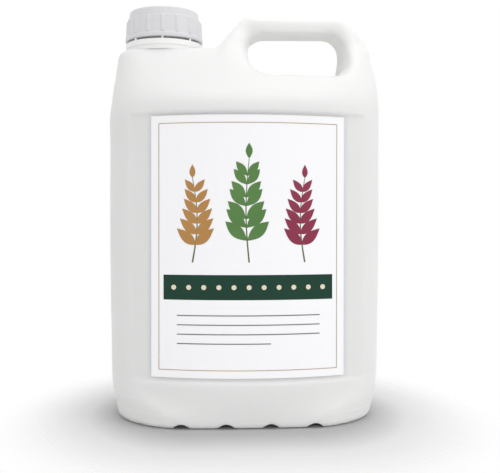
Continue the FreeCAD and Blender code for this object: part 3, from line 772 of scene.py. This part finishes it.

# The studio has a pale matt floor under a white surround that only the camera and reflections see.
# Near the foot the floor is painted darker, a painted shadow added to the real one, and further out it
# clears to the surround.
def seen_directly(tree):
    """One where the camera looks, straight or by way of a gloss or through glass, and else none."""
    path = tree.nodes.new("ShaderNodeLightPath")
    seen = path.outputs["Is Camera Ray"]
    for way in ("Is Glossy Ray", "Is Transmission Ray"):
        either = tree.nodes.new("ShaderNodeMath")
        either.operation = "MAXIMUM"
        tree.links.new(seen, either.inputs[0])
        tree.links.new(path.outputs[way], either.inputs[1])
        seen = either.outputs["Value"]
    return seen


floor_half = 6.0
floor_stretch = (1.0, 0.72, 0.0)
floor_shift = (-0.002, 0.0100, 0.0)
floor_core = (0.034, 0.0, 0.0)
# Over these reaches from the foot the floor's painted shadow goes from the darker grey to the open grey.
painted_shadow_from, painted_shadow_to = 0.046, 0.076
painted_shadow_grey = 0.46
open_grey = 0.68
bounced_grey = 0.82
clear_from, clear_to = 0.054, 0.140
floor_mesh = bpy.data.meshes.new("floor")
floor_mesh.from_pydata(
    [(-floor_half, -floor_half, 0), (floor_half, -floor_half, 0),
     (floor_half, floor_half, 0), (-floor_half, floor_half, 0)], [], [(0, 1, 2, 3)])
floor = new_piece("floor", floor_mesh)
floor_finish = bpy.data.materials.new("pale_floor")
floor_finish.use_nodes = True
floor_tree = floor_finish.node_tree
floor_surface = floor_tree.nodes["Principled BSDF"]
floor_surface.inputs["Roughness"].default_value = 0.9
floor_surface.inputs["Specular IOR Level"].default_value = 0.0
floor_place = floor_tree.nodes.new("ShaderNodeTexCoord")
floor_scale = floor_tree.nodes.new("ShaderNodeVectorMath")
floor_scale.operation = "MULTIPLY_ADD"
floor_scale.inputs[1].default_value = floor_stretch
floor_scale.inputs[2].default_value = floor_shift
floor_sides = floor_tree.nodes.new("ShaderNodeVectorMath")
floor_sides.operation = "ABSOLUTE"
floor_past = floor_tree.nodes.new("ShaderNodeVectorMath")
floor_past.operation = "SUBTRACT"
floor_past.inputs[1].default_value = floor_core
floor_corner = floor_tree.nodes.new("ShaderNodeVectorMath")
floor_corner.operation = "MAXIMUM"
floor_corner.inputs[1].default_value = (0.0, 0.0, 0.0)
floor_reach = floor_tree.nodes.new("ShaderNodeVectorMath")
floor_reach.operation = "LENGTH"
# The painted shadow: darker grey at the foot, open grey further out.
floor_painted_shadow = floor_tree.nodes.new("ShaderNodeMapRange")
floor_painted_shadow.inputs["From Min"].default_value = painted_shadow_from
floor_painted_shadow.inputs["From Max"].default_value = painted_shadow_to
floor_colour = floor_tree.nodes.new("ShaderNodeMix")
floor_colour.data_type = "RGBA"
floor_colour.inputs[6].default_value = (painted_shadow_grey, painted_shadow_grey, painted_shadow_grey, 1)
floor_colour.inputs[7].default_value = (open_grey, open_grey, open_grey, 1)
floor_seen = floor_tree.nodes.new("ShaderNodeMix")
floor_seen.data_type = "RGBA"
floor_seen.inputs[6].default_value = (bounced_grey, bounced_grey, bounced_grey, 1)
floor_fade = floor_tree.nodes.new("ShaderNodeMapRange")
floor_fade.interpolation_type = "SMOOTHSTEP"
floor_fade.inputs["From Min"].default_value = clear_from
floor_fade.inputs["From Max"].default_value = clear_to
floor_eye = seen_directly(floor_tree)
floor_share = floor_tree.nodes.new("ShaderNodeMath")
floor_share.operation = "MULTIPLY"
floor_clear = floor_tree.nodes.new("ShaderNodeBsdfTransparent")
floor_mix = floor_tree.nodes.new("ShaderNodeMixShader")
for source, target in (
    (floor_place.outputs["Object"], floor_scale.inputs[0]),
    (floor_scale.outputs["Vector"], floor_sides.inputs[0]),
    (floor_sides.outputs["Vector"], floor_past.inputs[0]),
    (floor_past.outputs["Vector"], floor_corner.inputs[0]),
    (floor_corner.outputs["Vector"], floor_reach.inputs[0]),
    (floor_reach.outputs["Value"], floor_painted_shadow.inputs["Value"]),
    (floor_painted_shadow.outputs["Result"], floor_colour.inputs[0]),
    (floor_eye, floor_seen.inputs[0]),
    (floor_colour.outputs[2], floor_seen.inputs[7]),
    (floor_seen.outputs[2], floor_surface.inputs["Base Color"]),
    (floor_reach.outputs["Value"], floor_fade.inputs["Value"]),
    (floor_fade.outputs["Result"], floor_share.inputs[0]),
    (floor_eye, floor_share.inputs[1]),
    (floor_share.outputs["Value"], floor_mix.inputs[0]),
    (floor_surface.outputs["BSDF"], floor_mix.inputs[1]),
    (floor_clear.outputs["BSDF"], floor_mix.inputs[2]),
    (floor_mix.outputs["Shader"], floor_tree.nodes["Material Output"].inputs["Surface"]),
):
    floor_tree.links.new(source, target)
floor.data.materials.append(floor_finish)

world = bpy.data.worlds.new("studio")
scene.world = world
world.use_nodes = True
sky_left = 0.74
sky_right = 0.99
sky_tree = world.node_tree
sky = sky_tree.nodes["Background"]
sky.inputs["Color"].default_value = (1, 1, 1, 1)
sky_way = sky_tree.nodes.new("ShaderNodeTexCoord")
sky_axes = sky_tree.nodes.new("ShaderNodeSeparateXYZ")
sky_side = sky_tree.nodes.new("ShaderNodeMapRange")
sky_side.inputs["From Min"].default_value = -1.0
sky_side.inputs["From Max"].default_value = 1.0
sky_side.inputs["To Min"].default_value = sky_left
sky_side.inputs["To Max"].default_value = sky_right
sky_tree.links.new(sky_way.outputs["Generated"], sky_axes.inputs["Vector"])
sky_tree.links.new(sky_axes.outputs["X"], sky_side.inputs["Value"])
sky_tree.links.new(sky_side.outputs["Result"], sky.inputs["Strength"])
surround = sky_tree.nodes.new("ShaderNodeBackground")
surround.inputs["Color"].default_value = (1, 1, 1, 1)
surround.inputs["Strength"].default_value = 1.0
sky_mix = sky_tree.nodes.new("ShaderNodeMixShader")
sky_tree.links.new(seen_directly(sky_tree), sky_mix.inputs[0])
sky_tree.links.new(sky.outputs["Background"], sky_mix.inputs[1])
sky_tree.links.new(surround.outputs["Background"], sky_mix.inputs[2])
sky_tree.links.new(sky_mix.outputs["Shader"], sky_tree.nodes["World Output"].inputs["Surface"])


def soft_lamp(name, place, aim, width, height, power):
    lamp = bpy.data.lights.new(name, "AREA")
    lamp.shape = "RECTANGLE"
    lamp.size = width
    lamp.size_y = height
    lamp.energy = power
    made = bpy.data.objects.new(name, lamp)
    made.location = place
    made.rotation_euler = (Vector(aim) - Vector(place)).to_track_quat("-Z", "Y").to_euler()
    scene.collection.objects.link(made)


middle = (0.0, 0.0, 0.15)
soft_lamp("overhead", (0.15, -0.25, 1.3), middle, 1.2, 1.0, 4.8)
soft_lamp("low_front", (0.1, -0.9, 0.03), (0.03, 0.0, 0.26), 0.8, 0.3, 0.5)
soft_lamp("right_side", (1.2, -0.7, 0.6), middle, 0.8, 1.2, 1.2)

frame_width = 500
frame_height = 473
focal_pixels = 820.2
horizon_row = 226.3
axis_column = 243.45
camera_distance = 0.590
camera_height = 0.130
camera_azimuth = math.radians(-3.0)
camera = bpy.data.cameras.new("photo_camera")
camera.sensor_width = 36.0
camera.lens = focal_pixels * camera.sensor_width / frame_width
camera.shift_x = (frame_width / 2 - axis_column) / frame_width
camera.shift_y = (horizon_row - frame_height / 2) / frame_width
viewer = bpy.data.objects.new("photo_camera", camera)
viewer.location = (
    camera_distance * math.sin(camera_azimuth), -camera_distance * math.cos(camera_azimuth), camera_height)
viewer.rotation_euler = (math.pi / 2, 0, camera_azimuth)
scene.collection.objects.link(viewer)
scene.camera = viewer
scene.view_settings.view_transform = "Standard"
